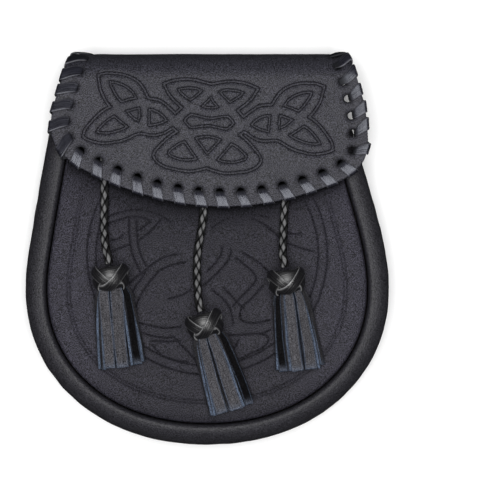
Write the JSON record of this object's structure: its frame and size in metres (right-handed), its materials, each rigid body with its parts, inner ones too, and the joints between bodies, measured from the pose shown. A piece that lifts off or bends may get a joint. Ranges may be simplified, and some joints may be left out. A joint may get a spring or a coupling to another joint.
{
  "type": "sporran pouch",
  "caption": "Black leather sporran pouch with a thong-laced knotwork flap, rounded rim and three cord tassels with fringes.",
  "frame": {"origin": "middle of the pouch's outline seen from the front, on the surface that the pouch lies on", "axes": "+X to the right and +Y to the rolled top as the front is seen, +Z out of the front; the pouch lies on its back"},
  "size_m": [0.1926, 0.2088, 0.0558],
  "materials": {
    "panel_leather": "fine-grained black leather, satin",
    "gusset_leather": "smooth black leather, soft sheen",
    "flap_leather": "fine-grained black leather with pressed knotwork lines",
    "thong_leather": "thin polished black thong, glossy",
    "fringe_leather": "charcoal leather strips with blue-grey cut edges",
    "stud_finish": "plain black"
  },
  "bodies": {
    "root": {"back_panel": "panel_leather", "front_panel": "panel_leather", "gusset": "gusset_leather", "flap": "flap_leather", "flap_lacing": "thong_leather", "belt_loop_left": "gusset_leather", "belt_loop_right": "gusset_leather", "closing_stud": "stud_finish", "tassel_cord_left": "thong_leather", "cord_keeper_left": "gusset_leather", "tassel_knot_left": "thong_leather", "tassel_fringe_left": "fringe_leather", "tassel_cord_centre": "thong_leather", "cord_keeper_centre": "gusset_leather", "tassel_knot_centre": "thong_leather", "tassel_fringe_centre": "fringe_leather", "tassel_cord_right": "thong_leather", "cord_keeper_right": "gusset_leather", "tassel_knot_right": "thong_leather", "tassel_fringe_right": "fringe_leather"}
  },
  "joints": []
}
